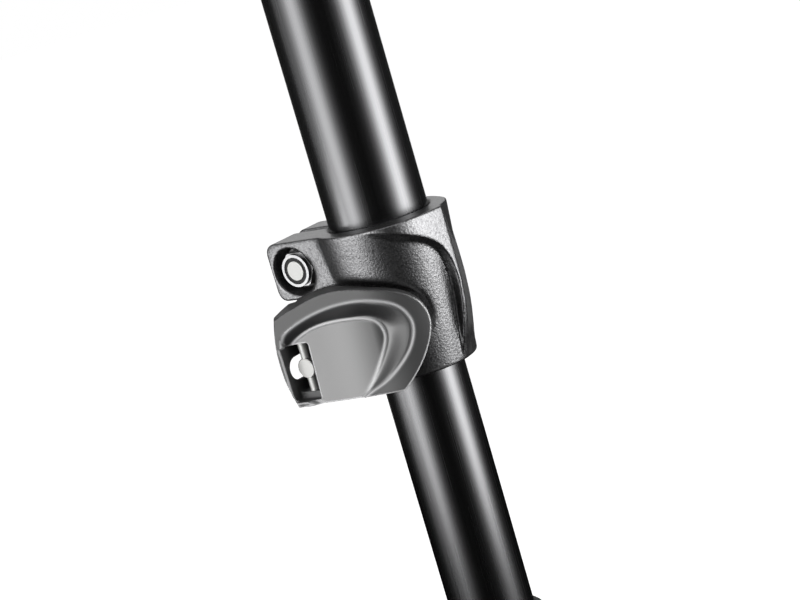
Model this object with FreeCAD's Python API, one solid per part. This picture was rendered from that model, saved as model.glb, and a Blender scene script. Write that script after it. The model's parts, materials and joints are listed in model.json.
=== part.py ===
# Telescopic camera-support leg with a lever lock, in millimetres.
# +Z runs up the leg, the front of the lock faces -Y and its clamping ears point to -X.
# The origin is the centre of the open top end of the upper tube, where the leg is mounted.
import math
import os

import FreeCAD
import Part

V = FreeCAD.Vector
UP = V(0, 0, 1)
BACK = V(0, 1, 0)

# Tubes
UPPER_OUTER_R = 14.6
UPPER_WALL = 1.3
LOWER_OUTER_R = 12.4
LOWER_WALL = 1.2
UPPER_EXPOSED = 215.0
LOWER_EXPOSED = 80.0
LOWER_LENGTH = 240.0
MOUNT_BORE_R = 13.9
MOUNT_BORE_DEPTH = 25.0
MOUNT_CHAMFER = 0.4

# Lock collar, a split casting round the joint of the two tubes
COLLAR_HEIGHT = 44.75
SEAT_HEIGHT = 17.4
TUBE_CLEARANCE = 0.05
TOP_LEAD_IN = 1.0
CHEEK_TOP_R = 19.4
CHEEK_TOP_X = 2.4
CHEEK_TOP_Y = -2.3
CHEEK_BOTTOM_R = 16.8
CHEEK_OVERLENGTH = 0.1
BAND_CORNER_R = 16.3
BAND_CORNER_X = 6.9
BAND_CORNER_Y = -4.4
BAND_RIDGE_OUT = 1.35
BAND_RIDGE_ANGLE = 16.6
BAND_FRONT_TURN = -12.0
BAND_FRONT_START = -104.0
BAND_SIDE_ANGLE = 42.0
BAND_BACK_STEP = 0.9

# Clamping ears
EAR_LEFT = 29.4
EAR_FRONT = 18.0
EAR_BACK = 5.8
EAR_CORNER = 3.0
UPPER_EAR_HEIGHT = 17.2
UPPER_EAR_RIGHT = -8.2
LOWER_EAR_LEFT = 27.0
LOWER_EAR_FRONT = 15.0
LOWER_EAR_HEIGHT = 21.8
LOWER_EAR_CORNER = 2.0
LOWER_EAR_RIGHT = -12.4
SLIT_WIDTH = 3.0
SLIT_CENTRE = 4.7
COVE_R = 12.0
COVE_SINK = 0.25
CROSS_SLOT = 2.2

# Fasteners
FASTENER_X = 21.3
COLLAR_BOLT_DROP = 8.8
CLAMP_BOLT_RISE = 9.0
BOLT_R = 3.0
BOLT_TIP_R = 2.85
BOLT_HOLE_CLEARANCE = 0.25
NUT_FLATS = 10.0
NUT_HEIGHT = 5.2
NUT_COLLAR_R = 4.85
NUT_INSERT_R = 3.95
NUT_COLLAR_HEIGHT = 1.3
NUT_RECESS_R = 7.0
NUT_RECESS_DEPTH = 6.2
NUT_BEVEL_OUT = 1.7
NUT_BEVEL_IN = -1.1
NUT_BEVEL_DEPTH = 2.0
NUT_INSERT_THICK = 1.0
WASHER_R = 6.2
WASHER_THICK = 1.2
SPOT_FACE_MARGIN = 0.6
HEAD_R = 5.0
HEAD_HEIGHT = 5.0
HEAD_SOCKET_FLATS = 5.0
HEAD_SOCKET_DEPTH = 3.0

# Lever and its cam
PIN_R = 1.5
PIN_CLEARANCE = 0.04
PIN_FRONT = 23.0
EYE_FACE_FRONT = 24.6
EYE_TIP_R = 2.8
CAM_R = 5.9
WEAR_PLATE_THICK = 1.5
WEAR_PLATE_INSET = 0.6
WEAR_PLATE_CORNER = 1.6
CAM_GAP = 0.05
LEVER_RIM_R = 23.9
LEVER_FIELD_DEPTH = 2.7
LEVER_FIELD_TOP = 21.5
LEVER_FIELD_LIP = 1.2
LEVER_INNER_R = 19.0
LEVER_INNER_START = -100
LEVER_EAR_GAP = 0.4
LEVER_FLARE = 9.6
VIEW_TURN = 39.6
LEVER_TIP_ANGLE = -25.0
WINDOW_LEFT = 25.6
SWING_MARGIN = 0.3
WINDOW_TOP = 16.6
WINDOW_BOTTOM = 0.0
WINDOW_WALL = 0.2
LUG_TOP = 2.2
PIN_TOP = 22.4
PIN_BOTTOM = -1.2
POCKET_R = 18.4
POCKET_MARGIN = 1.2
POCKET_LEFT = -3.9

# Liner, guide bush and caps inside the tubes
LINER_WALL = 1.2
LINER_FLANGE = 1.5
LINER_SPLIT = 1.6
LINER_INSET = 0.8
BUSH_LENGTH = 30.0
BUSH_CLEARANCE = 0.06
BUSH_GAP = 1.0
CAP_THICK = 3.0
CAP_SKIRT = 8.0
CAP_VENT_R = 3.0
BUSH_LUG_R = 2.4
BUSH_LUG_HEIGHT = 1.8

# Foot
FOOT_LENGTH = 35.0
FOOT_TOP_R = 15.2
FOOT_BOTTOM_R = 16.6
FOOT_SOLE_R = 12.5
FOOT_GRIP = 18.0
PLUG_LENGTH = 20.0
FOOT_BOLT_R = 2.5
FOOT_HEAD_R = 4.5
FOOT_HEAD_HEIGHT = 3.4
FOOT_RECESS_R = 6.0
FOOT_WEB = 6.0
PLUG_FLANGE = 3.0
FOOT_GROOVES = 3
FOOT_GROOVE_PITCH = 5.0
FOOT_GROOVE_R = 0.8
FOOT_FIRST_GROOVE = 4.0
FOOT_TOP_EDGE = 1.2
FOOT_SHOULDER = 7.0
FOOT_BELLY_R = 15.4
FOOT_BELLY_RISE = 2.2
FOOT_HOLE_R = 2.7
FOOT_WASHER_R = 5.7
FOOT_WASHER_THICK = 1.0
FOOT_SLOT_WIDTH = 1.2
FOOT_SLOT_DEPTH = 1.2
FOOT_THREAD_DEPTH = 14.0
FOOT_SHANK_REACH = 12.0

# Band of the collar: share of the height, how square the front corner is, radius of side and back
BAND_SHAPE = [(0, 0.02, 16.7), (0.1, 0.24, 17.4), (0.165, 0.42, 17.95), (0.25, 0.62, 18.6),
              (0.31, 0.73, 18.95), (0.367, 0.83, 19.2), (0.5, 0.96, 19.5), (0.612, 1, 19.5),
              (0.8, 1, 19.3), (0.93, 1, 19.1), (1, 0.97, 18.8)]

# Lower edge of the band, as y and height above the collar's bottom on a plane across the collar
STEP_PLANE_X = -2.0
STEP_LINE = [(-30.4, 58.4), (-20.4, 40.4), (-16.7, 31.2), (-11.1, 24.2), (-4.8, 19.2),
             (-0.1, 13.9), (2.0, 6.3), (2.2, 2.1), (1.6, -6.7), (1.4, -14.1)]
STEP_SLOPE = V(1, -0.16, 0.8)
OUTSIDE = 45.0

# Lever outlines, as distance across the turned view and height above the collar's bottom
LEVER_TOP = [(-36.9, 25.2), (-28.5, 28.4), (-21.9, 30.2), (-15.4, 30.4), (-8.6, 29.1), (-2.0, 27.1),
             (3.4, 23.4), (5.85, 17.5), (3.9, 10.7), (-1.2, 3.7), (-6.3, -1.1)]
LEVER_HEEL_EDGE = [(-37.3, -1.5), (-39.15, 10.5)]
SCOOP_RIM = [(-19.2, -2.4), (-17.0, -0.5), (-10.3, 2.7), (-5.1, 6.7), (-1.2, 10.8), (1.1, 16.2),
             (-0.1, 20.8),
             (-3.3, 24.1), (-9.4, 26.3), (-16.5, 26.7), (-24.2, 25.5), (-32.0, 22.6), (-36.7, 19.6),
             (-37.6, 12.0), (-37.4, 7.0), (-36.5, 1.6), (-33.5, -0.6), (-29.0, -2.6), (-19.2, -6.0)]
SCOOP_FIELD = [(-19.2, -2.4), (-17.4, -0.8), (-13.4, 3.9), (-10.0, 9.5), (-8.0, 13.4), (-7.6, 15.6),
               (-8.3, 18.6), (-10.9, 20.6), (-15.3, 21.4), (-21.6, 21.5), (-27.0, 20.6), (-32.4, 18.2),
               (-36.0, 15.3), (-36.3, 12.0), (-36.1, 7.0), (-35.2, 2.8), (-32.6, 0.5), (-28.4, -1.8),
               (-19.2, -6.0)]
SCOOP_SMOOTH_COUNT = 13

# Heights that follow from the sizes above
COLLAR_TOP = -UPPER_EXPOSED
COLLAR_BOTTOM = COLLAR_TOP - COLLAR_HEIGHT
SEAT_Z = COLLAR_BOTTOM + SEAT_HEIGHT
UPPER_INNER_R = UPPER_OUTER_R - UPPER_WALL
LOWER_INNER_R = LOWER_OUTER_R - LOWER_WALL
UPPER_TUBE_END = SEAT_Z + LINER_FLANGE
LOWER_TUBE_END = COLLAR_BOTTOM - LOWER_EXPOSED - FOOT_GRIP
LOWER_TUBE_TOP = LOWER_TUBE_END + LOWER_LENGTH
FOOT_BOTTOM = COLLAR_BOTTOM - LOWER_EXPOSED - FOOT_LENGTH
COLLAR_BOLT_Z = COLLAR_TOP - COLLAR_BOLT_DROP
CLAMP_BOLT_Z = COLLAR_BOTTOM + CLAMP_BOLT_RISE
PLATE_FRONT = LOWER_EAR_FRONT + WEAR_PLATE_THICK

NODES = {}


def add(name, shape):
    """Keep one finished piece under its name."""
    NODES[name] = shape.removeSplitter()


def at(x, y, z):
    return V(x, y, z)


def rod(radius, start, direction, length):
    """A round bar from a start point along a direction."""
    return Part.makeCylinder(radius, length, start, direction)


def ring(inner_r, outer_r, z_low, z_high):
    """A tube section about the leg's axis."""
    outer = rod(outer_r, at(0, 0, z_low), UP, z_high - z_low)
    return outer.cut(rod(inner_r, at(0, 0, z_low - 1), UP, z_high - z_low + 2))


def block(x_low, x_high, y_low, y_high, z_low, z_high):
    return Part.makeBox(x_high - x_low, y_high - y_low, z_high - z_low, at(x_low, y_low, z_low))


def arc(first, middle, last):
    return Part.Arc(first, middle, last).toShape()


def line(first, last):
    return Part.LineSegment(first, last).toShape()


def curve(points):
    """A smooth curve through a few points."""
    spline = Part.BSplineCurve()
    spline.interpolate(points)
    return spline.toShape()


def prism(edges, along):
    """A closed outline pushed along a vector."""
    return Part.Face(Part.Wire(edges)).extrude(along)


def on_circle(centre_x, centre_y, radius, degrees, z=0.0):
    turn = math.radians(degrees)
    return at(centre_x + radius * math.cos(turn), centre_y + radius * math.sin(turn), z)


# Tubes


def upper_tube():
    tube = ring(UPPER_INNER_R, UPPER_OUTER_R, UPPER_TUBE_END, 0)
    tube = tube.cut(rod(MOUNT_BORE_R, at(0, 0, -MOUNT_BORE_DEPTH), UP, MOUNT_BORE_DEPTH + 1))
    top = [edge for edge in tube.Edges if edge.BoundBox.ZMin > -0.01]
    rim = [edge for edge in top if edge.BoundBox.XMax > UPPER_OUTER_R - 0.01]
    return tube.makeChamfer(MOUNT_CHAMFER, rim)


def bush_lugs(radius):
    """Round lugs through the lower tube's wall that hold the two bush halves."""
    middle = LOWER_TUBE_TOP - BUSH_LENGTH / 2
    front = rod(radius, at(0, -LOWER_INNER_R, middle), -BACK, BUSH_LUG_HEIGHT)
    rear = rod(radius, at(0, LOWER_INNER_R, middle), BACK, BUSH_LUG_HEIGHT)
    return front, rear


def lower_tube():
    tube = ring(LOWER_INNER_R, LOWER_OUTER_R, LOWER_TUBE_END, LOWER_TUBE_TOP)
    for hole in bush_lugs(BUSH_LUG_R + TUBE_CLEARANCE):
        tube = tube.cut(hole)
    return tube


def guide_bush(side):
    """One half of the sliding bush: -1 is the front half, 1 the rear one."""
    low = LOWER_TUBE_TOP - BUSH_LENGTH
    shell = ring(LOWER_OUTER_R + TUBE_CLEARANCE, UPPER_INNER_R - BUSH_CLEARANCE, low, LOWER_TUBE_TOP)
    reach = UPPER_OUTER_R
    near = BUSH_GAP / 2
    half_y = (near, reach) if side > 0 else (-reach, -near)
    half = shell.common(block(-reach, reach, half_y[0], half_y[1], low, LOWER_TUBE_TOP))
    front, rear = bush_lugs(BUSH_LUG_R)
    lug = rear if side > 0 else front
    return half.fuse(lug)


def tube_end_cap():
    disc = rod(LOWER_OUTER_R, at(0, 0, LOWER_TUBE_TOP), UP, CAP_THICK)
    skirt = rod(LOWER_INNER_R - TUBE_CLEARANCE, at(0, 0, LOWER_TUBE_TOP - CAP_SKIRT), UP, CAP_SKIRT)
    vent = rod(CAP_VENT_R, at(0, 0, LOWER_TUBE_TOP - CAP_SKIRT), UP, CAP_SKIRT + CAP_THICK + 1)
    return disc.fuse(skirt).cut(vent)


# Lock collar


def cheek():
    """The round skin of the collar: a cone that leans forward and widens to the top."""
    lean = at(CHEEK_TOP_X, CHEEK_TOP_Y, COLLAR_HEIGHT)
    widen = (CHEEK_TOP_R - CHEEK_BOTTOM_R) * CHEEK_OVERLENGTH
    low = at(0, 0, COLLAR_BOTTOM) - lean * CHEEK_OVERLENGTH
    length = lean.Length * (1 + 2 * CHEEK_OVERLENGTH)
    cone = Part.makeCone(CHEEK_BOTTOM_R - widen, CHEEK_TOP_R + widen, length, low, lean)
    return cone.common(block(-OUTSIDE, OUTSIDE, -OUTSIDE, OUTSIDE, COLLAR_BOTTOM, COLLAR_TOP))


def band_section(height, swell, side_r):
    """Outline of the thick band at one height: front corner, ridge, flat side and round back."""
    corner_r = BAND_CORNER_R + (CHEEK_BOTTOM_R - BAND_CORNER_R) * (1 - swell)
    centre_x = BAND_CORNER_X * swell
    centre_y = BAND_CORNER_Y * swell
    front = on_circle(centre_x, centre_y, corner_r, BAND_FRONT_START, height)
    corner = on_circle(centre_x, centre_y, corner_r, -55, height)
    ridge = on_circle(centre_x, centre_y, corner_r, BAND_RIDGE_ANGLE * swell, height)
    ridge = ridge + (lever_place(0, 1, 0) - lever_place(0, 0, 0)) * (BAND_RIDGE_OUT * swell)
    # The front starts round and ends nearly flat, so that the ridge is a real edge.
    face = Part.BSplineCurve()
    face.interpolate(Points=[front, corner, ridge], InitialTangent=on_circle(0, 0, 1, BAND_FRONT_START + 90),
                     FinalTangent=on_circle(0, 0, 1, BAND_FRONT_TURN * swell + 90))
    side_end = on_circle(0, 0, side_r, BAND_SIDE_ANGLE, height)
    back = on_circle(0, 0, side_r - BAND_BACK_STEP, 115, height)
    left = on_circle(0, 0, side_r - BAND_BACK_STEP, 180, height)
    inside = on_circle(0, 0, CHEEK_BOTTOM_R - 2, -135, height)
    edges = [face.toShape(), line(ridge, side_end), arc(side_end, back, left)]
    edges += [line(left, inside), line(inside, front)]
    return Part.Wire(edges)


def band():
    """The thick band that sweeps from the top of the collar down its right side."""
    sections = []
    for share, swell, side_r in BAND_SHAPE:
        height = COLLAR_BOTTOM + share * COLLAR_HEIGHT
        sections.append(band_section(height, swell, side_r))
    body = Part.makeLoft(sections, True, True)
    # The wall of the step leans out to the right and up, so its outline is pushed along that slope.
    points = [at(STEP_PLANE_X, y, COLLAR_BOTTOM + z) for y, z in STEP_LINE]
    low_right = at(STEP_PLANE_X, points[-1].y, COLLAR_BOTTOM - 40)
    low_left = at(STEP_PLANE_X, points[0].y, COLLAR_BOTTOM - 40)
    corners = [points[-1], low_right, low_left, points[0]]
    outline = [curve(points)] + [line(a, b) for a, b in zip(corners, corners[1:])]
    step = prism(outline, STEP_SLOPE * OUTSIDE)
    return body.cut(step)


def cove_plan(height):
    """Outline of the cove that runs from the front ear's face into the round front of the collar."""
    radius, centre = cheek_at(height)
    radius = radius - COVE_SINK
    reach = radius + COVE_R
    drop = EAR_FRONT + COVE_R + centre.y
    cove = at(centre.x - math.sqrt(reach * reach - drop * drop), -EAR_FRONT - COVE_R, height)
    start = at(cove.x, -EAR_FRONT, height)
    end = centre + (cove - centre) * (radius / reach)
    half = (start + end) * 0.5 - cove
    middle = cove + half * (COVE_R / half.Length)
    inner = at(end.x, -LOWER_OUTER_R, height)
    back = at(start.x, -LOWER_OUTER_R, height)
    return Part.Wire([arc(start, middle, end), line(end, inner), line(inner, back), line(back, start)])


def cheek_at(height):
    """Radius and centre of the round skin at one height."""
    share = (height - COLLAR_BOTTOM) / COLLAR_HEIGHT
    radius = CHEEK_BOTTOM_R + (CHEEK_TOP_R - CHEEK_BOTTOM_R) * share
    return radius, at(CHEEK_TOP_X * share, CHEEK_TOP_Y * share, height)


def rounded_slab(left, right, front, low, high, corner):
    """An ear block whose two free corners are rounded, seen from the front."""
    slab = block(-left, right, -front, EAR_BACK, low, high)
    free = [edge for edge in slab.Edges if edge.BoundBox.XMax < -left + 0.01 and edge.BoundBox.YLength > 1]
    return slab.makeFillet(corner, free)


def lock_collar():
    upper_low = COLLAR_TOP - UPPER_EAR_HEIGHT
    lower_high = COLLAR_BOTTOM + LOWER_EAR_HEIGHT
    body = cheek().fuse(band())
    cove = Part.makeLoft([cove_plan(upper_low), cove_plan(COLLAR_TOP)], True, True)
    upper_ear = rounded_slab(EAR_LEFT, UPPER_EAR_RIGHT, EAR_FRONT, upper_low, COLLAR_TOP, EAR_CORNER)
    lower_ear = rounded_slab(LOWER_EAR_LEFT, LOWER_EAR_RIGHT, LOWER_EAR_FRONT, COLLAR_BOTTOM, lower_high,
                             LOWER_EAR_CORNER)
    body = body.fuse([upper_ear, cove, lower_ear])
    upper_bore_r = UPPER_OUTER_R + TUBE_CLEARANCE
    lower_bore_r = LOWER_OUTER_R + TUBE_CLEARANCE + LINER_WALL + TUBE_CLEARANCE
    body = body.cut(rod(upper_bore_r, at(0, 0, SEAT_Z), UP, COLLAR_HEIGHT))
    body = body.cut(rod(lower_bore_r, at(0, 0, COLLAR_BOTTOM - 1), UP, COLLAR_HEIGHT))
    mouth_r = upper_bore_r + TOP_LEAD_IN
    lead_in = Part.makeCone(upper_bore_r, mouth_r, TOP_LEAD_IN, at(0, 0, COLLAR_TOP - TOP_LEAD_IN), UP)
    body = body.cut(lead_in)
    # The slit lets the ears pull together, and the cross slot lets the two ends clamp apart.
    slit_front = -SLIT_CENTRE - SLIT_WIDTH / 2
    slit_back = -SLIT_CENTRE + SLIT_WIDTH / 2
    slit = block(-EAR_LEFT - 1, -LOWER_INNER_R, slit_front, slit_back, COLLAR_BOTTOM - 1, COLLAR_TOP + 1)
    middle = (upper_low + lower_high) / 2
    cross = block(-EAR_LEFT - 1, -LOWER_OUTER_R, -CHEEK_TOP_R, CHEEK_TOP_R, middle - CROSS_SLOT / 2,
                  middle + CROSS_SLOT / 2)
    body = body.cut(slit).cut(cross)
    body = body.cut(lever_pocket())
    hole_r = BOLT_R + BOLT_HOLE_CLEARANCE
    through = EAR_FRONT + EAR_BACK + 2
    for height in (COLLAR_BOLT_Z, CLAMP_BOLT_Z):
        body = body.cut(rod(hole_r, at(-FASTENER_X, -EAR_FRONT - 1, height), BACK, through))
        body = body.cut(rod(WASHER_R + SPOT_FACE_MARGIN, at(-FASTENER_X, EAR_BACK, height), BACK, EAR_FRONT))
    recess = rod(NUT_RECESS_R, at(-FASTENER_X, -EAR_FRONT - 1, COLLAR_BOLT_Z), BACK, NUT_RECESS_DEPTH + 1)
    return body.cut(recess)


# Lever


def lever_place(across, outward, height):
    """A point given across the turned view, outward from the leg and up from the collar's bottom."""
    turn = math.radians(VIEW_TURN)
    x = across * math.cos(turn) + outward * math.sin(turn)
    y = across * math.sin(turn) - outward * math.cos(turn)
    return at(x, y, COLLAR_BOTTOM + height)


def skin_start(radius):
    """Where the lever's round skin turns into its straight flare, and the flare's direction."""
    flare = math.radians(LEVER_FLARE)
    start = at(radius * math.sin(flare), -radius * math.cos(flare), 0)
    direction = at(-math.cos(flare), -math.sin(flare), 0)
    return start, direction


def skin_depth(across, radius):
    """How far out the lever's skin lies at one place across the turned view."""
    turn = math.radians(VIEW_TURN)
    start, direction = skin_start(radius)
    start_across = start.x * math.cos(turn) + start.y * math.sin(turn)
    if across >= start_across:
        return math.sqrt(radius * radius - across * across)
    start_out = start.x * math.sin(turn) - start.y * math.cos(turn)
    step_across = direction.x * math.cos(turn) + direction.y * math.sin(turn)
    step_out = direction.x * math.sin(turn) - direction.y * math.cos(turn)
    return start_out + (across - start_across) * step_out / step_across


def skin_block(radius, left_x, back_edges, low, high, lean=0):
    """The lever's plan from its outer skin to a back given as edges, pushed up and leaning back if asked."""
    start, direction = skin_start(radius)
    reach = (start.x - left_x) / -direction.x
    heel = start + direction * reach
    tip = on_circle(0, 0, radius, LEVER_TIP_ANGLE)
    middle = on_circle(0, 0, radius, (LEVER_TIP_ANGLE - 90 + LEVER_FLARE) / 2)
    edges = [arc(tip, middle, start), line(start, heel)] + back_edges(heel, tip)
    slant = lever_place(0, -lean, 1) - lever_place(0, 0, 0)
    solid = prism(edges, slant * (high - low))
    solid.translate(slant * low + UP * COLLAR_BOTTOM)
    return solid


def lever_back(heel, tip):
    """Back of the lever: heel, straight inner wall and the arc that clears the collar."""
    cam_y = -PLATE_FRONT - CAM_GAP - CAM_R
    inner_tip = on_circle(0, 0, LEVER_INNER_R, LEVER_TIP_ANGLE)
    inner_start = on_circle(0, 0, LEVER_INNER_R, LEVER_INNER_START)
    inner_middle = on_circle(0, 0, LEVER_INNER_R, (LEVER_TIP_ANGLE + LEVER_INNER_START) / 2)
    heel_back = at(heel.x, cam_y, 0)
    wall_end = at(-FASTENER_X, inner_start.y, 0)
    return [line(heel, heel_back), line(heel_back, wall_end), line(wall_end, inner_start),
            arc(inner_start, inner_middle, inner_tip), line(inner_tip, tip)]


def field_back(heel, tip):
    """Back of the block that keeps the finger field: well behind the lever."""
    corner_left = at(heel.x, 10, 0)
    corner_right = at(tip.x, 10, 0)
    return [line(heel, corner_left), line(corner_left, corner_right), line(corner_right, tip)]


def lever_outline(margin, outward):
    """The lever's outline across the turned view, grown by a margin, as a prism that starts so far out."""
    centre = (sum(p[0] for p in LEVER_TOP) / len(LEVER_TOP), sum(p[1] for p in LEVER_TOP) / len(LEVER_TOP))

    def place(point):
        dx = point[0] - centre[0]
        dz = point[1] - centre[1]
        grow = 1 + margin / math.hypot(dx, dz)
        return lever_place(centre[0] + dx * grow, outward, centre[1] + dz * grow)

    top = [place(point) for point in LEVER_TOP]
    heel = [place(point) for point in LEVER_HEEL_EDGE]
    edges = [curve(top), line(top[-1], heel[0]), arc(heel[0], heel[1], top[0])]
    push = lever_place(0, OUTSIDE, 0) - lever_place(0, outward, 0)
    return prism(edges, push)


def lever_pocket():
    """Room in the collar's front for the closed lever."""
    room = lever_outline(POCKET_MARGIN, POCKET_R / 4)
    keep = rod(POCKET_R, at(0, 0, COLLAR_BOTTOM - 20), UP, COLLAR_HEIGHT + 40)
    ear_keep = block(-OUTSIDE, POCKET_LEFT, -EAR_FRONT - 0.02, OUTSIDE, COLLAR_BOTTOM - 20, COLLAR_TOP + 20)
    return room.cut(keep).cut(ear_keep)


def finger_scoop():
    """The finger recess: a sloping rim that runs down to a field, which leans back from the lower edge."""
    field_r = LEVER_RIM_R - LEVER_FIELD_LIP
    lean = (LEVER_FIELD_DEPTH - LEVER_FIELD_LIP) / LEVER_FIELD_TOP

    def loop(points, depth):
        places = [lever_place(u, depth(u, h), h) for u, h in points]
        smooth = curve(places[:SCOOP_SMOOTH_COUNT])
        corners = places[SCOOP_SMOOTH_COUNT - 1:]
        rest = [line(a, b) for a, b in zip(corners, corners[1:])]
        return Part.Wire([smooth] + rest + [line(places[-1], places[0])])

    outside = loop(SCOOP_RIM, lambda u, h: OUTSIDE)
    on_rim = loop(SCOOP_RIM, lambda u, h: skin_depth(u, LEVER_RIM_R))
    on_field = loop(SCOOP_FIELD, lambda u, h: skin_depth(u, field_r) - lean * h)
    inside = loop(SCOOP_FIELD, lambda u, h: 0.0)
    scoop = Part.makeLoft([outside, on_rim, on_field, inside], True, True)
    keep = skin_block(field_r, -OUTSIDE, field_back, -OUTSIDE, OUTSIDE, lean)
    return scoop.cut(keep)


def lock_lever():
    cam_y = -PLATE_FRONT - CAM_GAP - CAM_R
    heel_x = -FASTENER_X - CAM_R
    below = COLLAR_BOTTOM - 10
    body = skin_block(LEVER_RIM_R, heel_x, lever_back, -10, COLLAR_HEIGHT)
    cam = rod(CAM_R, at(-FASTENER_X, cam_y, below), UP, COLLAR_HEIGHT + 10)
    body = body.fuse(cam).removeSplitter()
    body = body.common(lever_outline(0, -OUTSIDE))
    # Above the lower ear the heel stays clear of the upper ear, at rest and while it swings.
    under_ear = COLLAR_TOP - UPPER_EAR_HEIGHT - LEVER_EAR_GAP
    behind = block(-OUTSIDE, POCKET_LEFT, -EAR_FRONT - LEVER_EAR_GAP, OUTSIDE, under_ear, COLLAR_TOP)
    beside = block(-OUTSIDE, -FASTENER_X, -OUTSIDE, OUTSIDE, under_ear, COLLAR_TOP)
    body = body.cut(behind).cut(beside)
    body = body.cut(finger_scoop())
    # The slot shows the bolt's eye and goes right through between the two lugs.
    high = COLLAR_BOTTOM + WINDOW_TOP
    right = -FASTENER_X + math.hypot(BOLT_R, EYE_FACE_FRONT - PIN_FRONT) + SWING_MARGIN
    slot = block(-WINDOW_LEFT, right, -OUTSIDE, 0, COLLAR_BOTTOM + LUG_TOP, high)
    pin_back = -PIN_FRONT - PIN_R - WINDOW_WALL
    shallow = block(-WINDOW_LEFT, right, -OUTSIDE, pin_back, COLLAR_BOTTOM + WINDOW_BOTTOM, high)
    body = body.cut(slot).cut(shallow)
    # Behind the left rim the heel is open at the bolt's height, so the bolt can turn out of the lever.
    room = BOLT_R + SWING_MARGIN
    swing = block(-OUTSIDE, right, -PIN_FRONT, 0, CLAMP_BOLT_Z - room, CLAMP_BOLT_Z + room)
    round_end = rod(room, at(-OUTSIDE, -PIN_FRONT, CLAMP_BOLT_Z), at(1, 0, 0), OUTSIDE + right)
    body = body.cut(swing).cut(round_end)
    pin_hole = rod(PIN_R, at(-FASTENER_X, -PIN_FRONT, below), UP, PIN_TOP + 10)
    return body.cut(pin_hole)


def lever_pin():
    low = COLLAR_BOTTOM + PIN_BOTTOM
    return rod(PIN_R, at(-FASTENER_X, -PIN_FRONT, low), UP, PIN_TOP - PIN_BOTTOM)


# Fasteners along Y


def hexagon(flats, start, direction, length):
    """A six-sided bar standing on a start point, with flats above and below."""
    radius = flats / math.sqrt(3)
    corners = []
    for k in range(7):
        turn = math.radians(60 * k)
        corners.append(start + at(radius * math.cos(turn), 0, radius * math.sin(turn)))
    return Part.Face(Part.makePolygon(corners)).extrude(direction * length)


def lock_nut(start, direction):
    """A hexagon nut with a round rolled collar that holds a plastic ring."""
    nut = hexagon(NUT_FLATS, start, direction, NUT_HEIGHT - NUT_COLLAR_HEIGHT)
    corner_r = NUT_FLATS / math.sqrt(3)
    straight = NUT_HEIGHT - NUT_COLLAR_HEIGHT - NUT_BEVEL_DEPTH
    bevel_start = start + direction * straight
    bevel_r = corner_r + NUT_BEVEL_OUT
    bevel_length = NUT_BEVEL_OUT - NUT_BEVEL_IN
    bevel = Part.makeCone(bevel_r, corner_r + NUT_BEVEL_IN, bevel_length, bevel_start, direction)
    base = rod(bevel_r, start, direction, straight)
    nut = nut.common(base.fuse(bevel))
    nut = nut.fuse(rod(NUT_COLLAR_R, start, direction, NUT_HEIGHT))
    nut = nut.cut(rod(BOLT_R, start, direction, NUT_HEIGHT))
    seat = start + direction * (NUT_HEIGHT - NUT_COLLAR_HEIGHT)
    return nut.cut(rod(NUT_INSERT_R, seat, direction, NUT_HEIGHT))


def nut_insert(start, direction):
    seat = start + direction * (NUT_HEIGHT - NUT_COLLAR_HEIGHT)
    disc = rod(NUT_INSERT_R, seat, direction, NUT_INSERT_THICK)
    return disc.cut(rod(BOLT_TIP_R, seat, direction, NUT_INSERT_THICK))


def washer(start, direction):
    disc = rod(WASHER_R, start, direction, WASHER_THICK)
    return disc.cut(rod(BOLT_R + BOLT_HOLE_CLEARANCE, start, direction, WASHER_THICK))


def collar_bolt(nut_start):
    """Cap screw with its socket head behind the rear ear and its plain tip in the front nut."""
    seat = at(-FASTENER_X, EAR_BACK + WASHER_THICK, COLLAR_BOLT_Z)
    thread_end = nut_start.y - (NUT_HEIGHT - NUT_COLLAR_HEIGHT)
    shank = rod(BOLT_R, seat, -BACK, seat.y - thread_end)
    tip = rod(BOLT_TIP_R, at(-FASTENER_X, thread_end, COLLAR_BOLT_Z), -BACK, NUT_COLLAR_HEIGHT)
    head = rod(HEAD_R, seat, BACK, HEAD_HEIGHT)
    socket_start = seat + BACK * (HEAD_HEIGHT - HEAD_SOCKET_DEPTH)
    socket = hexagon(HEAD_SOCKET_FLATS, socket_start, BACK, HEAD_SOCKET_DEPTH + 1)
    return shank.fuse([tip, head]).cut(socket)


def clamp_bolt():
    """Stud with a cross-drilled eye in front for the lever pin and its tip in the rear nut."""
    front = at(-FASTENER_X, -EYE_FACE_FRONT, CLAMP_BOLT_Z)
    thread_end = EAR_BACK + WASHER_THICK + NUT_HEIGHT - NUT_COLLAR_HEIGHT
    stud = rod(BOLT_R, front, BACK, EYE_FACE_FRONT + thread_end)
    rim = [edge for edge in stud.Edges if edge.BoundBox.YMax < front.y + 0.01]
    stud = stud.makeChamfer(BOLT_R - EYE_TIP_R, rim)
    tip = rod(BOLT_TIP_R, at(-FASTENER_X, thread_end, CLAMP_BOLT_Z), BACK, NUT_COLLAR_HEIGHT)
    stud = stud.fuse(tip)
    cross = rod(PIN_R + PIN_CLEARANCE, at(-FASTENER_X, -PIN_FRONT, CLAMP_BOLT_Z - 10), UP, 20)
    return stud.cut(cross)


def cam_wear_plate():
    """Plate that the lever's cam presses on, in front of the lower ear."""
    low = COLLAR_BOTTOM + WEAR_PLATE_INSET
    high = COLLAR_BOTTOM + LOWER_EAR_HEIGHT - WEAR_PLATE_INSET
    left = -LOWER_EAR_LEFT + WEAR_PLATE_INSET
    plate = block(left, -FASTENER_X + CAM_R, -PLATE_FRONT, -LOWER_EAR_FRONT, low, high)
    corners = [edge for edge in plate.Edges if edge.BoundBox.YLength > 1]
    plate = plate.makeFillet(WEAR_PLATE_CORNER, corners)
    hole = rod(BOLT_R + BOLT_HOLE_CLEARANCE, at(-FASTENER_X, -PLATE_FRONT - 1, CLAMP_BOLT_Z), BACK, 4)
    return plate.cut(hole)


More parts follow.
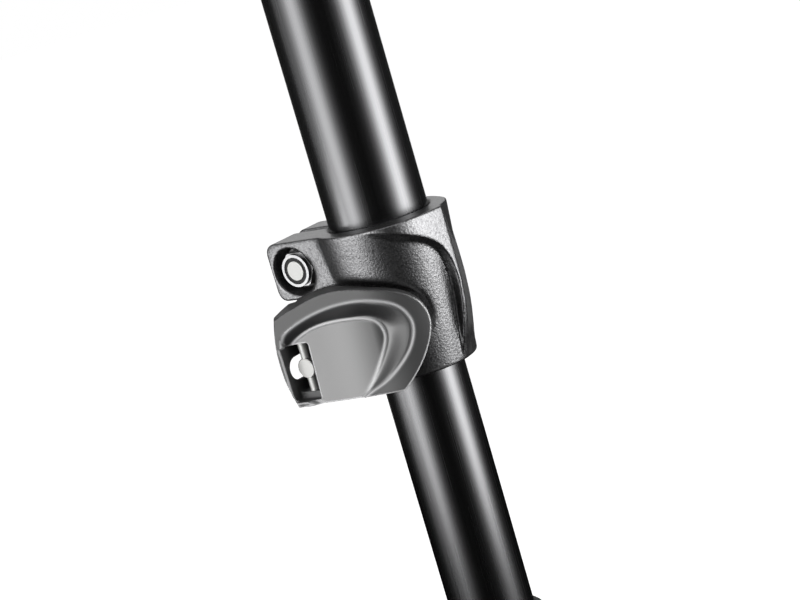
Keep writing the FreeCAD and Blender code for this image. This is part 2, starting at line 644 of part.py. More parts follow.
# Liner in the collar


def collar_liner():
    inner_r = LOWER_OUTER_R + TUBE_CLEARANCE
    sleeve = ring(inner_r, inner_r + LINER_WALL, COLLAR_BOTTOM + LINER_INSET, SEAT_Z)
    flange = ring(inner_r, UPPER_OUTER_R, SEAT_Z, UPPER_TUBE_END)
    split = block(-UPPER_OUTER_R - 1, -LINER_WALL, -SLIT_CENTRE - LINER_SPLIT / 2,
                  -SLIT_CENTRE + LINER_SPLIT / 2, COLLAR_BOTTOM, COLLAR_TOP)
    return sleeve.fuse(flange).cut(split)


# Foot


def foot_plug():
    flange = rod(LOWER_OUTER_R, at(0, 0, LOWER_TUBE_END - PLUG_FLANGE), UP, PLUG_FLANGE)
    stem = rod(LOWER_INNER_R - TUBE_CLEARANCE, at(0, 0, LOWER_TUBE_END), UP, PLUG_LENGTH)
    thread = rod(FOOT_BOLT_R, at(0, 0, LOWER_TUBE_END - PLUG_FLANGE), UP, PLUG_FLANGE + FOOT_THREAD_DEPTH)
    return flange.fuse(stem).cut(thread)


def rubber_foot():
    """Revolved foot: grooved sleeve over the tube's end, round shoulder, flat sole with a screw recess."""
    top = LOWER_TUBE_END + FOOT_GRIP
    inner_r = LOWER_OUTER_R + TUBE_CLEARANCE
    shelf = LOWER_TUBE_END - PLUG_FLANGE
    roof = shelf - FOOT_WEB
    edge_r = FOOT_TOP_R - FOOT_TOP_EDGE
    points = [at(inner_r, 0, top), at(edge_r, 0, top), at(FOOT_TOP_R, 0, top - FOOT_TOP_EDGE)]
    for k in range(FOOT_GROOVES):
        drop = FOOT_FIRST_GROOVE + k * FOOT_GROOVE_PITCH
        radius = FOOT_TOP_R + (FOOT_BOTTOM_R - FOOT_TOP_R) * drop / FOOT_LENGTH
        points.append(at(radius, 0, top - drop))
        points.append(at(radius - FOOT_GROOVE_R, 0, top - drop - FOOT_GROOVE_R))
        points.append(at(radius, 0, top - drop - 2 * FOOT_GROOVE_R))
    shoulder = at(FOOT_BOTTOM_R, 0, FOOT_BOTTOM + FOOT_SHOULDER)
    sole = at(FOOT_SOLE_R, 0, FOOT_BOTTOM)
    belly = at(FOOT_BELLY_R, 0, FOOT_BOTTOM + FOOT_BELLY_RISE)
    outline = points + [shoulder, belly, sole]
    side = [line(a, b) for a, b in zip(outline, outline[1:])]
    inside = [sole, at(FOOT_RECESS_R, 0, FOOT_BOTTOM), at(FOOT_RECESS_R, 0, roof), at(FOOT_HOLE_R, 0, roof),
              at(FOOT_HOLE_R, 0, shelf), at(inner_r, 0, shelf), points[0]]
    bore = [line(a, b) for a, b in zip(inside, inside[1:])]
    return Part.Face(Part.Wire(side + bore)).revolve(at(0, 0, 0), UP, 360)


def foot_washer():
    top = LOWER_TUBE_END - PLUG_FLANGE - FOOT_WEB
    return ring(FOOT_HOLE_R, FOOT_WASHER_R, top - FOOT_WASHER_THICK, top)


def foot_screw():
    seat = LOWER_TUBE_END - PLUG_FLANGE - FOOT_WEB - FOOT_WASHER_THICK
    shank_length = LOWER_TUBE_END + FOOT_SHANK_REACH - seat
    shank = rod(FOOT_BOLT_R, at(0, 0, seat), UP, shank_length)
    head = rod(FOOT_HEAD_R, at(0, 0, seat - FOOT_HEAD_HEIGHT), UP, FOOT_HEAD_HEIGHT)
    half = FOOT_SLOT_WIDTH / 2
    slot_top = seat - FOOT_HEAD_HEIGHT + FOOT_SLOT_DEPTH
    slot = block(-FOOT_HEAD_R, FOOT_HEAD_R, -half, half, slot_top - FOOT_SLOT_DEPTH - 1, slot_top)
    return shank.fuse(head).cut(slot)


def build():
    add("upper_tube", upper_tube())
    add("lower_tube", lower_tube())
    add("lock_collar", lock_collar())
    add("collar_liner", collar_liner())
    add("lock_lever", lock_lever())
    add("lever_pin", lever_pin())
    add("cam_wear_plate", cam_wear_plate())
    front_nut = at(-FASTENER_X, -EAR_FRONT + NUT_RECESS_DEPTH, COLLAR_BOLT_Z)
    add("collar_nut", lock_nut(front_nut, -BACK))
    add("collar_nut_insert", nut_insert(front_nut, -BACK))
    add("collar_bolt", collar_bolt(front_nut))
    add("collar_washer", washer(at(-FASTENER_X, EAR_BACK, COLLAR_BOLT_Z), BACK))
    rear_nut = at(-FASTENER_X, EAR_BACK + WASHER_THICK, CLAMP_BOLT_Z)
    add("clamp_bolt", clamp_bolt())
    add("clamp_washer", washer(at(-FASTENER_X, EAR_BACK, CLAMP_BOLT_Z), BACK))
    add("tension_nut", lock_nut(rear_nut, BACK))
    add("tension_nut_insert", nut_insert(rear_nut, BACK))
    add("guide_bush_front", guide_bush(-1))
    add("guide_bush_rear", guide_bush(1))
    add("tube_end_cap", tube_end_cap())
    add("foot_plug", foot_plug())
    add("rubber_foot", rubber_foot())
    add("foot_washer", foot_washer())
    add("foot_screw", foot_screw())


def write():
    os.makedirs("parts", exist_ok=True)
    for name, shape in NODES.items():
        solid_count = len(shape.Solids)
        print(name, "solids", solid_count, "valid", shape.isValid(), "volume", round(shape.Volume, 1))
        shape.exportStep(os.path.join("parts", name + ".step"))


build()
write()
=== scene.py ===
# %% [markdown]
# # A telescopic camera leg and its lever lock
#
# The object is one leg of a camera support. A thick black tube holds a thinner one, and a split
# die-cast collar squeezes the thin tube when its lever is closed. The leg's solids were modelled
# and packed before, in millimetres and with moving joints. Here they get their finish: rounded
# edges, grain, anodising and light.

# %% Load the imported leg
import json
import math

import bmesh
import bpy
import numpy as np
from mathutils import Matrix, Vector


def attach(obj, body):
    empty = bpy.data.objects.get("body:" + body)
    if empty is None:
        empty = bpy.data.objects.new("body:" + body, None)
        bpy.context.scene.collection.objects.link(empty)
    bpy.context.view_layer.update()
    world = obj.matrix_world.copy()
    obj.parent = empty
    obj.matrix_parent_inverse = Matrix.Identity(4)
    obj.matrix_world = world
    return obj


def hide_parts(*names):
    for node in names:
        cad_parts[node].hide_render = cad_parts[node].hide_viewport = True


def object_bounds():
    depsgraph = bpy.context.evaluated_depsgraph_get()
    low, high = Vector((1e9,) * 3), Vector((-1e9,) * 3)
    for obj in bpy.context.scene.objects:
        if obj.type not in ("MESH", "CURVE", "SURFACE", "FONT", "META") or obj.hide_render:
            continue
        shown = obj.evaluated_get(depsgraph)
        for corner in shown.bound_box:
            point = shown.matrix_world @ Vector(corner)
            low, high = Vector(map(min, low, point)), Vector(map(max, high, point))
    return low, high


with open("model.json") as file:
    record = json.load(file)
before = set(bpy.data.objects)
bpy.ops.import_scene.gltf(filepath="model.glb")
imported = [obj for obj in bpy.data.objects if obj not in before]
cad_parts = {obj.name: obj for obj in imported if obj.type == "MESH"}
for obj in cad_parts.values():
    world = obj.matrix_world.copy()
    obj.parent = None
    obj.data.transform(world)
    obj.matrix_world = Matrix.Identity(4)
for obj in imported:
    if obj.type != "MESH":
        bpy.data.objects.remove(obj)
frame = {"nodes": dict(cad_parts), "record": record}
solid_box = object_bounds()

# %% [markdown]
# Sizes are written in millimetres, because that is how the real leg is drawn, and one constant
# turns them into Blender's metres. Colours are written as the hex values that a painter would
# pick from a screen, and a function turns them into the linear numbers that a shader needs.

# %% Units and colours
MM = 0.001


def linear(hex_colour):
    """The linear RGBA of an sRGB hex colour."""
    channels = [int(hex_colour[i:i + 2], 16) / 255 for i in (1, 3, 5)]
    bent = [c / 12.92 if c <= 0.04045 else ((c + 0.055) / 1.055) ** 2.4 for c in channels]
    return (*bent, 1.0)


WHITE = linear("#ffffff")
print("half grey on the screen is", round(linear("#808080")[0], 3), "for a shader")

# %% [markdown]
# A material is a small network of nodes. One helper adds a node, sets what is a plain setting on
# it, and fills its sockets with either a value or a wire from another node. The other starts an
# empty material.

# %% Helpers for node networks
def add_node(tree, kind, sockets=None, **settings):
    """Adds one node; a socket gets a number, a colour or another node's output."""
    made = tree.nodes.new(kind)
    for name, value in settings.items():
        setattr(made, name, value)
    for name, value in (sockets or {}).items():
        if isinstance(value, bpy.types.NodeSocket):
            tree.links.new(value, made.inputs[name])
        else:
            made.inputs[name].default_value = value
    return made


def new_material(name):
    """An empty node material and its tree."""
    material = bpy.data.materials.new(name)
    material.use_nodes = True
    material.node_tree.nodes.clear()
    return material, material.node_tree


# %% [markdown]
# ## The camera
#
# The photograph looks at the lock from the front right and a little from above, through a long
# lens, and the camera is tilted sideways so that the leg leans across the picture. The angles
# were fitted to edges of the lock whose places in the solids are known. A camera can be turned
# by three angles, but building its three axes as vectors shows what each angle does.

# %% The photograph's camera
CAMERA_TURN = math.radians(39.605)
CAMERA_DROP = math.radians(11.295)
CAMERA_ROLL = math.radians(-16.307)
CAMERA_DISTANCE = 555.507 * MM
CAMERA_SIDE_STEP = -0.84 * MM
CAMERA_NEAREST = 10 * MM
LOCK_HEIGHT = -240.35 * MM
PICTURE_WIDTH_PX = 800
FOCAL_PX = 1934.4
SENSOR_WIDTH = 36.0

level_right = Vector((math.cos(CAMERA_TURN), math.sin(CAMERA_TURN), 0))
towards_leg = Vector((-math.sin(CAMERA_TURN) * math.cos(CAMERA_DROP),
                      math.cos(CAMERA_TURN) * math.cos(CAMERA_DROP), -math.sin(CAMERA_DROP)))
level_up = level_right.cross(towards_leg)
camera_right = level_right * math.cos(CAMERA_ROLL) + level_up * math.sin(CAMERA_ROLL)
camera_up = level_up * math.cos(CAMERA_ROLL) - level_right * math.sin(CAMERA_ROLL)
camera_place = (Vector((0, 0, LOCK_HEIGHT)) - towards_leg * CAMERA_DISTANCE
                + level_right * CAMERA_SIDE_STEP)

camera_data = bpy.data.cameras.new("photo_camera")
camera_data.sensor_width = SENSOR_WIDTH
camera_data.lens = FOCAL_PX * SENSOR_WIDTH / PICTURE_WIDTH_PX
camera_data.clip_start = CAMERA_NEAREST
camera = bpy.data.objects.new("photo_camera", camera_data)
bpy.context.scene.collection.objects.link(camera)
turned = Matrix((camera_right, camera_up, -towards_leg)).transposed().to_4x4()
camera.matrix_world = Matrix.Translation(camera_place) @ turned
bpy.context.scene.camera = camera
print("camera at", [round(v / MM) for v in camera_place], "mm, lens",
      round(camera_data.lens, 1), "mm")

# %% [markdown]
# ## A white room
#
# The photograph's ground is pure white. More lamps would burn out the leg, so the white comes
# from the Light Path node instead: the world and the floor glow for the camera, for mirrors and
# for glass, while their light on the leg stays modest. The floor is a lit white surface below
# that glow, so that a shadow still darkens it. It lies under the foot of the extended leg.

# %% World and floor
WORLD_FILL = 0.32
WORLD_GLOW = 1.0
FLOOR_GLOW = 0.80
FLOOR_DROP = 120 * MM
FLOOR_HALF_WIDTH = 12.0


def seen_directly(tree):
    """1 for camera, glossy and transmission rays, 0 for light that bounces off dull surfaces."""
    path = add_node(tree, "ShaderNodeLightPath")
    first = add_node(tree, "ShaderNodeMath", {
        0: path.outputs["Is Camera Ray"], 1: path.outputs["Is Glossy Ray"]},
        operation="MAXIMUM")
    either = add_node(tree, "ShaderNodeMath", {
        0: first.outputs[0], 1: path.outputs["Is Transmission Ray"]}, operation="MAXIMUM")
    return either.outputs[0]


world = bpy.data.worlds.new("white_room")
bpy.context.scene.world = world
world.use_nodes = True
tree = world.node_tree
tree.nodes.clear()
fill = add_node(tree, "ShaderNodeBackground", {"Color": WHITE, "Strength": WORLD_FILL})
bright = add_node(tree, "ShaderNodeBackground", {"Color": WHITE, "Strength": WORLD_GLOW})
choice = add_node(tree, "ShaderNodeMixShader", {
    0: seen_directly(tree), 1: fill.outputs[0], 2: bright.outputs[0]})
add_node(tree, "ShaderNodeOutputWorld", {"Surface": choice.outputs[0]})

floor_material, tree = new_material("white_floor")
paint = add_node(tree, "ShaderNodeBsdfDiffuse", {"Color": linear("#e8e8e8")})
floor_light = add_node(tree, "ShaderNodeEmission", {"Color": WHITE, "Strength": FLOOR_GLOW})
both = add_node(tree, "ShaderNodeAddShader", {0: paint.outputs[0], 1: floor_light.outputs[0]})
lit = add_node(tree, "ShaderNodeMixShader", {
    0: seen_directly(tree), 1: paint.outputs[0], 2: both.outputs[0]})
add_node(tree, "ShaderNodeOutputMaterial", {"Surface": lit.outputs[0]})


def flat_thing(name, material, shape, height, **sizes):
    """A level sheet made by one bmesh operator, at a given height."""
    mesh = bpy.data.meshes.new(name)
    bm = bmesh.new()
    shape(bm, **sizes)
    bmesh.ops.translate(bm, verts=bm.verts, vec=(0, 0, height))
    bm.to_mesh(mesh)
    bm.free()
    mesh.materials.append(material)
    sheet = bpy.data.objects.new(name, mesh)
    bpy.context.scene.collection.objects.link(sheet)
    return sheet


floor = flat_thing("floor", floor_material, bmesh.ops.create_grid,
                   solid_box[0].z - FLOOR_DROP, x_segments=1, y_segments=1,
                   size=FLOOR_HALF_WIDTH)
floor_height = floor.data.vertices[0].co.z
print("floor at", round(floor_height / MM), "mm")

# %% [markdown]
# ## Light
#
# A round black tube shows its lamps as stripes. The photograph has two soft ones, a quarter of
# the width in from each side, with a black middle and black edges. A stripe at some angle on
# the tube comes from a lamp at twice that angle from the camera, so places round the leg are
# given here by that angle. Flat lamps would do, but sheets bent round the leg stay at one
# distance, so that their brightness in the tube depends on the angle alone.

# %% Sheets that stand round the leg
SHEET_STEP = 4


def around(angle, distance, height):
    """A place round the leg, so many degrees to the right of the camera."""
    turn = math.radians(angle)
    towards_camera = Vector((-towards_leg.x, -towards_leg.y, 0)).normalized()
    spot = towards_camera * math.cos(turn) + level_right * math.sin(turn)
    return Vector((spot.x * distance, spot.y * distance, height))


def bent_sheet(name, first_angle, last_angle, distance, low, high, material):
    """An upright sheet bent round the leg whose face looks inwards."""
    mesh = bpy.data.meshes.new(name)
    bm = bmesh.new()
    bottom = bm.verts.new(around(first_angle, distance, low))
    top = bm.verts.new(around(first_angle, distance, high))
    edge = bm.edges.new((bottom, top))
    steps = round((last_angle - first_angle) / SHEET_STEP)
    bmesh.ops.spin(bm, geom=[bottom, top, edge], cent=(0, 0, 0), axis=(0, 0, 1),
                   angle=math.radians(last_angle - first_angle), steps=steps)
    for face in bm.faces:
        if face.normal.dot(face.calc_center_median()) > 0:
            face.normal_flip()
    bm.to_mesh(mesh)
    bm.free()
    mesh.materials.append(material)
    sheet = bpy.data.objects.new(name, mesh)
    bpy.context.scene.collection.objects.link(sheet)
    sheet.visible_camera = False
    return sheet


# %% [markdown]
# The stripes fade like a bell curve, so each panel's glow is a sum of bells round the leg,
# stored in its vertices, and a little stronger at the panel's foot than at its head. The small
# third panel hangs low on the far left. The flat face of the upper ear mirrors it, and the
# tubes hardly do, because they mirror other heights there.

# %% Soft panels
PANEL_DISTANCE = 0.60
PANEL_LOW = LOCK_HEIGHT - 0.25
PANEL_HIGH = LOCK_HEIGHT + 0.36
PANEL_SOFTNESS = 11.5
PANEL_REACH = 44
PANEL_FOOT = 1.12
PANEL_HEAD = 0.88
PANELS = {"left_panel": [(-56.5, 5.7), (-90, 0.65)], "right_panel": [(67, 9.0)]}
EAR_PANEL_TURN = -80
EAR_PANEL_REACH = 12
EAR_PANEL_SOFTNESS = 6
EAR_PANEL_DISTANCE = 0.57
EAR_PANEL_LOW = LOCK_HEIGHT - 0.14
EAR_PANEL_HIGH = LOCK_HEIGHT - 0.055
EAR_PANEL_GLOW = 11.0

panel_material, tree = new_material("glowing_panel")
strength = add_node(tree, "ShaderNodeAttribute", attribute_name="glow")
shine = add_node(tree, "ShaderNodeEmission", {
    "Color": WHITE, "Strength": strength.outputs["Fac"]})
add_node(tree, "ShaderNodeOutputMaterial", {"Surface": shine.outputs[0]})


def let_glow(panel, bells, softness, foot=1.0, head=1.0):
    """Stores a glow that falls off to both sides of each bell's middle."""
    glow = panel.data.attributes.new("glow", "FLOAT", "POINT")
    for vertex in panel.data.vertices:
        level = head if vertex.co.z > LOCK_HEIGHT else foot
        flat = Vector((vertex.co.x, vertex.co.y, 0))
        for middle, brightest in bells:
            side = math.degrees(flat.angle(around(middle, 1, 0)))
            bell = math.exp(-0.5 * (side / softness) ** 2)
            glow.data[vertex.index].value += level * brightest * bell
    print(panel.name, "glows by", [brightest for _, brightest in bells])


for name, bells in PANELS.items():
    turn = bells[0][0]
    panel = bent_sheet(name, turn - PANEL_REACH, turn + PANEL_REACH, PANEL_DISTANCE,
                       PANEL_LOW, PANEL_HIGH, panel_material)
    let_glow(panel, bells, PANEL_SOFTNESS, PANEL_FOOT, PANEL_HEAD)

ear_panel = bent_sheet("ear_panel", EAR_PANEL_TURN - EAR_PANEL_REACH,
                       EAR_PANEL_TURN + EAR_PANEL_REACH, EAR_PANEL_DISTANCE,
                       EAR_PANEL_LOW, EAR_PANEL_HIGH, panel_material)
let_glow(ear_panel, [(EAR_PANEL_TURN, EAR_PANEL_GLOW)], EAR_PANEL_SOFTNESS)

# %% [markdown]
# Black cards fill the directions between the panels, as a studio does it, so that the tubes
# have their black middle and edges. A card seen by every ray would also dim the room, so
# these are seen only in reflections.

# %% Black cards
CARD_DISTANCE = 0.8
CARD_HEIGHT = 1.4
CARD_SIDES = 48
CARDS = {"front_card": (-32, 28), "left_card": (-165, -104), "right_card": (100, 165)}
HIDDEN_FROM = ("camera", "diffuse", "shadow", "transmission", "volume_scatter")


def card_paint(name, colour):
    """A dull paint for a card."""
    made, tree = new_material(name)
    dull = add_node(tree, "ShaderNodeBsdfDiffuse", {"Color": linear(colour)})
    add_node(tree, "ShaderNodeOutputMaterial", {"Surface": dull.outputs[0]})
    return made


black_card = card_paint("black_card", "#050505")
grey_card = card_paint("grey_card", "#3a3a3a")
cards = [bent_sheet(name, first, last, CARD_DISTANCE, floor_height, floor_height + CARD_HEIGHT,
                    black_card if name == "front_card" else grey_card)
         for name, (first, last) in CARDS.items()]
cards.append(flat_thing("floor_card", black_card, bmesh.ops.create_circle, floor_height + MM,
                        cap_ends=True, segments=CARD_SIDES, radius=CARD_DISTANCE))
for card in cards:
    for ray in HIDDEN_FROM:
        setattr(card, "visible_" + ray, False)
print("cards:", [card.name for card in cards])

# %% [markdown]
# ## Finishes
#
# The tubes are drawn aluminium, satin-etched and anodised black. Drawing leaves faint lines
# along the tube, and the dyed layer keeps a metallic shine with no colour of its own. So the
# shader is a dark metal, with roughness that varies in long streaks. Real draw lines are finer
# than a pixel, so these are as wide as they need to be to show at all.

# %% Black anodised aluminium
DRAW_LINE_WIDTH = 0.35 * MM
DRAW_LINE_LENGTH = 60 * MM
DRAW_LINE_DEPTH = 0.01 * MM
DRAW_LINE_STRENGTH = 0.05
SMOOTHEST_TUBE = 0.22
ROUGHEST_TUBE = 0.30
anodised, tree = new_material("black_anodised_aluminium")
place = add_node(tree, "ShaderNodeTexCoord")
stretched = add_node(tree, "ShaderNodeMapping", {
    "Vector": place.outputs["Object"],
    "Scale": (1 / DRAW_LINE_WIDTH, 1 / DRAW_LINE_WIDTH, 1 / DRAW_LINE_LENGTH)})
streaks = add_node(tree, "ShaderNodeTexNoise", {
    "Vector": stretched.outputs[0], "Scale": 1.0, "Detail": 3.0})
dullness = add_node(tree, "ShaderNodeMapRange", {
    "Value": streaks.outputs["Fac"], "To Min": SMOOTHEST_TUBE, "To Max": ROUGHEST_TUBE})
dye = add_node(tree, "ShaderNodeMix", {
    "Factor": streaks.outputs["Fac"], "A": linear("#555556"), "B": linear("#606061")},
    data_type="RGBA")
relief = add_node(tree, "ShaderNodeBump", {
    "Height": streaks.outputs["Fac"], "Strength": DRAW_LINE_STRENGTH,
    "Distance": DRAW_LINE_DEPTH})
coat = add_node(tree, "ShaderNodeBsdfPrincipled", {
    "Base Color": dye.outputs["Result"], "Metallic": 1.0, "Roughness": dullness.outputs[0],
    "Normal": relief.outputs[0]})
add_node(tree, "ShaderNodeOutputMaterial", {"Surface": coat.outputs[0]})
print(anodised.name, "roughness", SMOOTHEST_TUBE, "to", ROUGHEST_TUBE)

# %% [markdown]
# The collar is die-cast aluminium with a black powder coat. The coat pulls together into a fine
# leathery grain while it cures, about half a millimetre from bump to bump. Each bump catches
# the panels by itself, so the surface sparkles from grey to black. Rounded cells from a Voronoi
# pattern make the bumps, and a larger noise keeps them from looking regular.

# %% Grained black powder coat
GRAIN_SIZE = 0.50 * MM
GRAIN_DRIFT = 1.6
GRAIN_HEIGHT = 0.075 * MM
GRAIN_STRENGTH = 0.62
GRAIN_PITS = -0.35
GRAIN_TOPS = 0.45
COAT_ROUGHNESS = 0.38
powder_coat, tree = new_material("black_powder_coat")
place = add_node(tree, "ShaderNodeTexCoord")
large_grain = add_node(tree, "ShaderNodeTexNoise", {
    "Vector": place.outputs["Object"], "Scale": 1 / GRAIN_SIZE / GRAIN_DRIFT, "Detail": 2.0,
    "Roughness": 0.6, "Distortion": 0.3})
pebbles = add_node(tree, "ShaderNodeTexVoronoi", {
    "Vector": place.outputs["Object"], "Scale": 1 / GRAIN_SIZE}, feature="SMOOTH_F1")
height = add_node(tree, "ShaderNodeMath", {
    0: large_grain.outputs["Fac"], 1: pebbles.outputs["Distance"]}, operation="SUBTRACT")
relief = add_node(tree, "ShaderNodeBump", {
    "Height": height.outputs[0], "Strength": GRAIN_STRENGTH, "Distance": GRAIN_HEIGHT})
shade = add_node(tree, "ShaderNodeMapRange", {
    "Value": height.outputs[0], "From Min": GRAIN_PITS, "From Max": GRAIN_TOPS,
    "To Min": 0.0, "To Max": 1.0})
tint = add_node(tree, "ShaderNodeMix", {
    "Factor": shade.outputs[0], "A": linear("#5c5c5d"), "B": linear("#7e7e7f")},
    data_type="RGBA")
coat = add_node(tree, "ShaderNodeBsdfPrincipled", {
    "Base Color": tint.outputs["Result"], "Metallic": 1.0, "Roughness": COAT_ROUGHNESS,
    "Normal": relief.outputs[0]})
add_node(tree, "ShaderNodeOutputMaterial", {"Surface": coat.outputs[0]})
print(powder_coat.name, "grain", GRAIN_SIZE / MM, "mm")

# %% [markdown]
# The lever is glass-filled nylon, moulded in dark grey. Its tool was spark-eroded to a fine matt
# grain, so it has a satin sheen, softer than the collar's and without sparkle. Thumbs polish
# its pad. Its edges and beads carry a painted highlight: their colour is mixed towards a light
# grey, which stands in for small rounds catching the panels. Three attributes of the mesh tell
# where pad, edges and beads are: how sharply it bends, where a bead runs and where the pad lies.
# They are made further down.

# %% Dark grey moulded nylon
LEVER_GRAIN = 0.22 * MM
LEVER_GRAIN_DEPTH = 0.012 * MM
LEVER_GRAIN_STRENGTH = 0.25
# Bends, one over the radius in mm, between which the painted edge highlight starts and is full.
EDGE_BEND_FROM = 0.30
EDGE_BEND_TO = 0.80
RIM_ROUGHNESS = 0.58
PAD_ROUGHNESS = 0.33
moulded_grey, tree = new_material("dark_grey_moulded_nylon")
place = add_node(tree, "ShaderNodeTexCoord")
skin = add_node(tree, "ShaderNodeTexNoise", {
    "Vector": place.outputs["Object"], "Scale": 1 / LEVER_GRAIN, "Detail": 2.0})
relief = add_node(tree, "ShaderNodeBump", {
    "Height": skin.outputs["Fac"], "Strength": LEVER_GRAIN_STRENGTH,
    "Distance": LEVER_GRAIN_DEPTH})
tint = add_node(tree, "ShaderNodeMix", {
    "Factor": skin.outputs["Fac"], "A": linear("#141415"), "B": linear("#1c1c1d")},
    data_type="RGBA")
bend = add_node(tree, "ShaderNodeAttribute", attribute_name="bend")
edge = add_node(tree, "ShaderNodeMapRange", {
    "Value": bend.outputs["Fac"], "From Min": EDGE_BEND_FROM, "From Max": EDGE_BEND_TO,
    "To Min": 0.0, "To Max": 1.0})
bead = add_node(tree, "ShaderNodeAttribute", attribute_name="bead")
highlight_share = add_node(tree, "ShaderNodeMath", {0: edge.outputs[0], 1: bead.outputs["Fac"]},
                operation="MAXIMUM", use_clamp=True)
# Painted highlight: sharp edges and beads turn light grey in the base colour instead of being
# lit.
painted_highlight = add_node(tree, "ShaderNodeMix", {
    "Factor": highlight_share.outputs[0], "A": tint.outputs["Result"], "B": linear("#a0a0a1")},
    data_type="RGBA")
pad = add_node(tree, "ShaderNodeAttribute", attribute_name="pad")
dullness = add_node(tree, "ShaderNodeMapRange", {
    "Value": pad.outputs["Fac"], "To Min": RIM_ROUGHNESS, "To Max": PAD_ROUGHNESS})
body = add_node(tree, "ShaderNodeBsdfPrincipled", {
    "Base Color": painted_highlight.outputs["Result"], "Roughness": dullness.outputs[0], "IOR": 1.55,
    "Specular IOR Level": 1.0, "Normal": relief.outputs[0]})
add_node(tree, "ShaderNodeOutputMaterial", {"Surface": body.outputs[0]})
print(moulded_grey.name, "roughness", PAD_ROUGHNESS, "on the pad,", RIM_ROUGHNESS, "elsewhere")

# %% [markdown]
# Small parts: blackened steel for the nuts and washers, zinc-plated steel for bolts and pin,
# black nylon for liner, bushes and caps, and carbon-black rubber for the foot. They differ in
# colour, gloss and grain, but not in the way they are made, so one function makes them all.

# %% Steel, nylon and rubber
RELIEF_STRENGTH = 0.2
GRAIN_TO_DEPTH = 20


def plain_finish(name, dark, light, grain, **sockets):
    """A finish whose tint and relief vary with a fine noise of a given grain size."""
    made, tree = new_material(name)
    place = add_node(tree, "ShaderNodeTexCoord")
    noise = add_node(tree, "ShaderNodeTexNoise", {
        "Vector": place.outputs["Object"], "Scale": 1 / grain, "Detail": 3.0})
    tint = add_node(tree, "ShaderNodeMix", {
        "Factor": noise.outputs["Fac"], "A": linear(dark), "B": linear(light)},
        data_type="RGBA")
    relief = add_node(tree, "ShaderNodeBump", {
        "Height": noise.outputs["Fac"], "Strength": RELIEF_STRENGTH,
        "Distance": grain / GRAIN_TO_DEPTH})
    values = {"Base Color": tint.outputs["Result"], "Normal": relief.outputs[0]}
    for socket, value in sockets.items():
        values[socket.replace("_", " ")] = value
    surface = add_node(tree, "ShaderNodeBsdfPrincipled", values)
    add_node(tree, "ShaderNodeOutputMaterial", {"Surface": surface.outputs[0]})
    return made


black_steel = plain_finish("blackened_steel", "#909091", "#9e9e9f", 0.4 * MM,
                           Metallic=1.0, Roughness=0.38)
zinc_steel = plain_finish("zinc_plated_steel", "#b0b0ae", "#bebebc", 0.3 * MM,
                          Metallic=1.0, Roughness=0.58)
black_nylon = plain_finish("black_nylon", "#141415", "#1c1c1d", 0.5 * MM,
                           Roughness=0.55, Specular_IOR_Level=0.3)
black_rubber = plain_finish("black_rubber", "#161616", "#242424", 0.6 * MM, Roughness=0.62)

SLOT_FINISH = {
    "tube_black": anodised, "collar_black": powder_coat, "lever_plastic": moulded_grey,
    "nylon": black_nylon, "black_steel": black_steel, "bright_steel": zinc_steel,
    "rubber": black_rubber,
}
print(len(SLOT_FINISH), "finishes")

# %% [markdown]
# ## Rounding the solids
#
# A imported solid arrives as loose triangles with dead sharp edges. Real parts have none: turned
# edges are broken, castings and mouldings are round all over. So each solid is copied, its
# triangles are merged and its round walls shaded smooth, and on most pieces modifiers round the
# edges. The copy stands for the solid and rides on the same body.

# %% Copies that stand for the solids
slot_of = {part["node"]: part["material_slot"] for part in frame["record"]["subparts"]}
body_of = {node: body for body, nodes in frame["record"]["behaviour"]["bodies"].items()
           for node in nodes}
SHARP_ANGLE = math.radians(28)
MERGE_DISTANCE = 0.001 * MM
EDGE_STEPS = 3
print("solids to dress:", len(slot_of))


def dressed_copy(node):
    """A merged, smooth-shaded copy of one CAD node that replaces it."""
    mesh = frame["nodes"][node].data.copy()
    bm = bmesh.new()
    bm.from_mesh(mesh)
    bmesh.ops.remove_doubles(bm, verts=bm.verts, dist=MERGE_DISTANCE)
    bmesh.ops.dissolve_degenerate(bm, edges=bm.edges, dist=MERGE_DISTANCE)
    for face in bm.faces:
        face.smooth = True
    for edge in bm.edges:
        edge.smooth = len(edge.link_faces) == 2 and edge.calc_face_angle() < SHARP_ANGLE
    bm.to_mesh(mesh)
    bm.free()
    mesh.materials.clear()
    mesh.materials.append(SLOT_FINISH[slot_of[node]])
    piece = bpy.data.objects.new(node + "_finished", mesh)
    bpy.context.scene.collection.objects.link(piece)
    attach(piece, body_of[node])
    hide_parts(node)
    print(node, "faces", len(mesh.polygons))
    return piece


def break_edges(piece, width):
    """Rounds the piece's sharp edges by a small width."""
    bevel = piece.modifiers.new("broken_edges", "BEVEL")
    bevel.width = width
    bevel.segments = EDGE_STEPS
    bevel.limit_method = "ANGLE"
    bevel.angle_limit = SHARP_ANGLE
    bevel.harden_normals = True


# %% [markdown]
# A casting's or a moulding's edges run into one another, which a bevel can't follow across the
# collar's cove and band. A voxel remesh rebuilds the surface from small even cells instead, and
# smoothing them rounds each edge by a few cells, by more of them with more passes.

# %% Moulded skins
RELAX_FACTOR = 0.5


def moulded_skin(piece, cell, passes, kept=1.0):
    """Rebuilds a piece from even cells, rounds it and keeps a share of its triangles."""
    cells = piece.modifiers.new("even_cells", "REMESH")
    cells.mode = "VOXEL"
    cells.voxel_size = cell
    cells.use_smooth_shade = True
    relax = piece.modifiers.new("round_edges", "SMOOTH")
    relax.factor = RELAX_FACTOR
    relax.iterations = passes
    if kept < 1:
        thin = piece.modifiers.new("fewer_faces", "DECIMATE")
        thin.ratio = kept
    shown = piece.evaluated_get(bpy.context.evaluated_depsgraph_get()).data
    print(piece.name, "triangles", sum(len(face.vertices) - 2 for face in shown.polygons))


# %% [markdown]
# ## The pieces
#
# The tubes come first. A smooth copy is enough, and it keeps the walls and ends of the solids.

